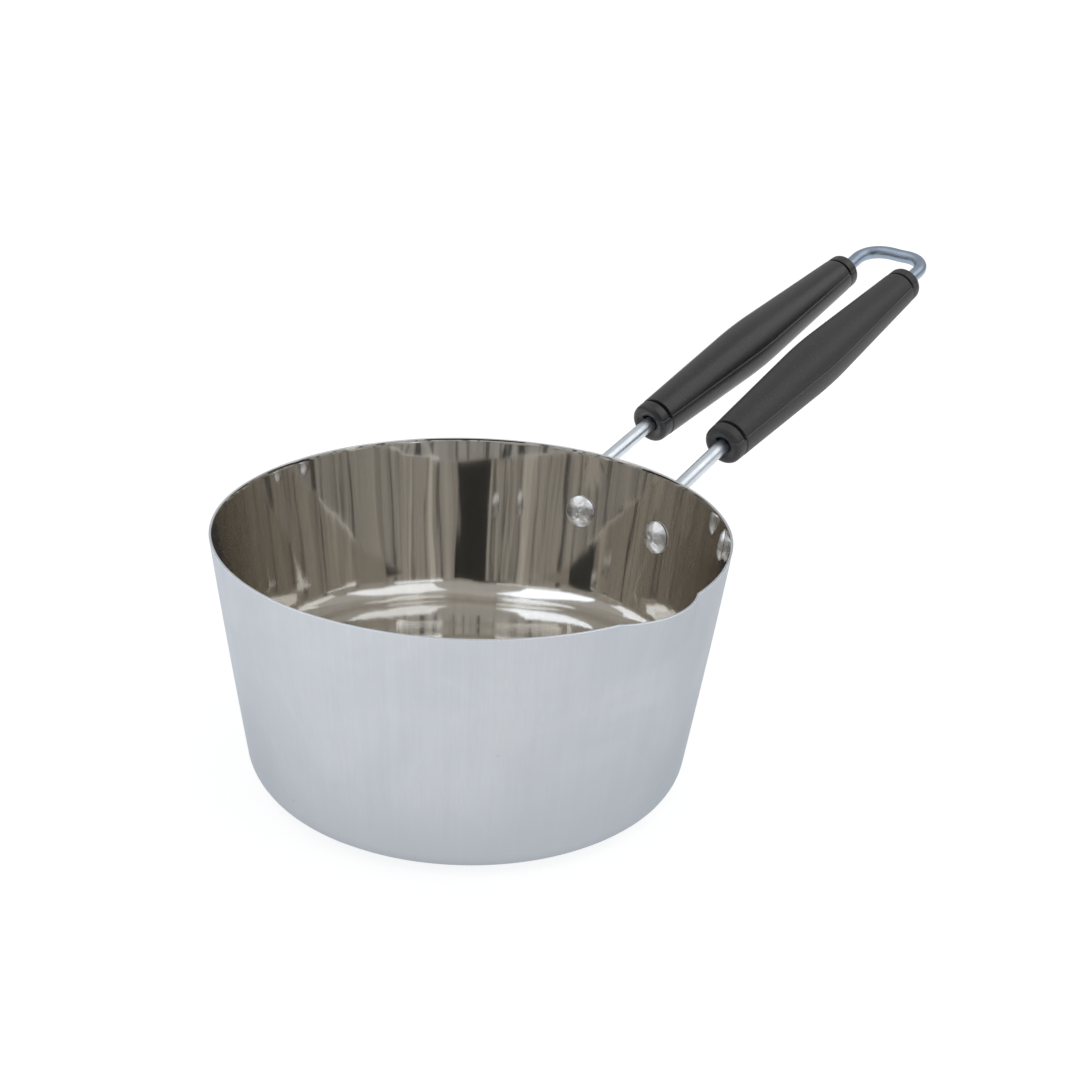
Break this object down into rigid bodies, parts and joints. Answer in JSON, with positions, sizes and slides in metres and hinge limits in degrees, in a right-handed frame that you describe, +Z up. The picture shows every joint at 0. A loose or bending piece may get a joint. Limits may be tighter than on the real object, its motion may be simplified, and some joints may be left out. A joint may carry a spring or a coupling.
{
  "type": "candle melting pot",
  "caption": "Deep sheet-steel melting and pouring pot with one pouring lip and a long straight wire handle with moulded grips that ends in a hanging loop.",
  "frame": {"origin": "centre of the flat underside of the base", "axes": "+Z up along the pan's axis, +X along the handle, from the pan towards the hanging loop; the pouring lip is near -Y"},
  "size_m": [0.3364, 0.1632, 0.1284],
  "materials": {
    "sheet_steel": "satin brushed outside, bright polished inside",
    "wire_steel": "bright drawn wire",
    "grip_plastic": "satin moulded",
    "rivet_metal": "bright, lightly dimpled heads"
  },
  "bodies": {
    "root": {"pot_body": "sheet_steel", "handle_wire": "wire_steel", "grip_upper_left": "grip_plastic", "grip_lower_left": "grip_plastic", "grip_upper_right": "grip_plastic", "grip_lower_right": "grip_plastic", "rivet_left": "rivet_metal", "rivet_right": "rivet_metal"}
  },
  "joints": []
}
